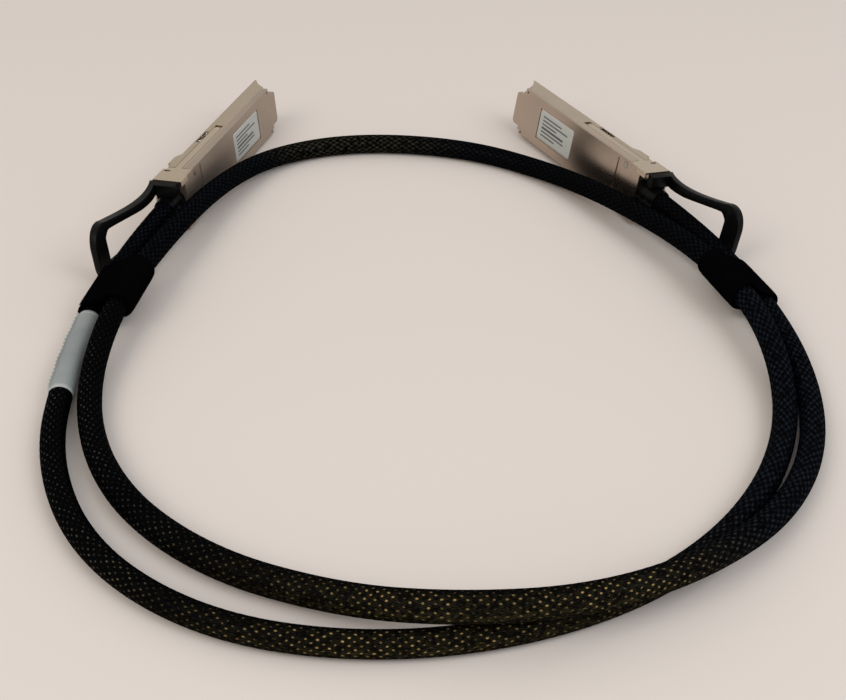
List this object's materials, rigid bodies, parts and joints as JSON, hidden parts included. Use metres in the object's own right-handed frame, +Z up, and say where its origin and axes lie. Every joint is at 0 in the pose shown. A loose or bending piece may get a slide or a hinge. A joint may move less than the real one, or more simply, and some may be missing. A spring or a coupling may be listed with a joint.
{
  "type": "direct attach copper cable",
  "caption": "Coiled black braided twinax cable with a nickel-plated quad plug, sliding latch and rubber pull loop at each end, held by two hook-and-loop ties",
  "frame": {"origin": "centre of the bottom of the box round the two plugs with their pull loops, on the surface that the cable lies on", "axes": "+X from the left plug to the right plug, +Y from the cable loop towards the plug noses, +Z up"},
  "size_m": [0.2197, 0.2693, 0.0199],
  "materials": {
    "nickel": "satin nickel plate on cast zinc",
    "card_laminate": "solder mask over laminate",
    "gold": "hard gold plate",
    "pair_film": "metallised film",
    "ferrule_metal": "plain",
    "boot_shrink": "shrunk polyolefin, slightly glossy",
    "latch_sheet": "stamped stainless sheet",
    "spring_wire": "drawn wire",
    "tab_rubber": "moulded, satin",
    "screw_steel": "bright plated",
    "label_paper": "matte label stock",
    "cable_braid": "braided monofilament sleeve",
    "tie_fabric": "woven hook-and-loop tape",
    "wrap_film": "matte film"
  },
  "bodies": {
    "cable_assembly": {"left_base_shell": "nickel", "left_cover_shell": "nickel", "left_paddle_card": "card_laminate", "left_gold_contacts": "gold", "left_twinax_pairs": "pair_film", "left_crimp_ferrule": "ferrule_metal", "left_cable_boot": "boot_shrink", "left_return_springs": "spring_wire", "left_shell_screws": "screw_steel", "left_label": "label_paper", "right_base_shell": "nickel", "right_cover_shell": "nickel", "right_paddle_card": "card_laminate", "right_gold_contacts": "gold", "right_twinax_pairs": "pair_film", "right_crimp_ferrule": "ferrule_metal", "right_cable_boot": "boot_shrink", "right_return_springs": "spring_wire", "right_shell_screws": "screw_steel", "right_label": "label_paper", "braided_cable": "cable_braid", "left_tie": "tie_fabric", "right_tie": "tie_fabric", "wrap_label": "wrap_film"},
    "left_latch": {"left_latch_slider": "latch_sheet", "left_pull_tab": "tab_rubber"},
    "right_latch": {"right_latch_slider": "latch_sheet", "right_pull_tab": "tab_rubber"}
  },
  "joints": [
    {"name": "left_latch_slide", "type": "slide", "parent": "cable_assembly", "child": "left_latch", "axis": [-0.3044, -0.9526, 0], "range_m": [0, 0.0028], "stiffness_N_per_m": 900, "springref_m": -0.001, "deforming": ["left_return_springs"]},
    {"name": "right_latch_slide", "type": "slide", "parent": "cable_assembly", "child": "right_latch", "axis": [0.486, -0.8739, 0], "range_m": [0, 0.0028], "stiffness_N_per_m": 900, "springref_m": -0.001, "deforming": ["right_return_springs"]}
  ]
}
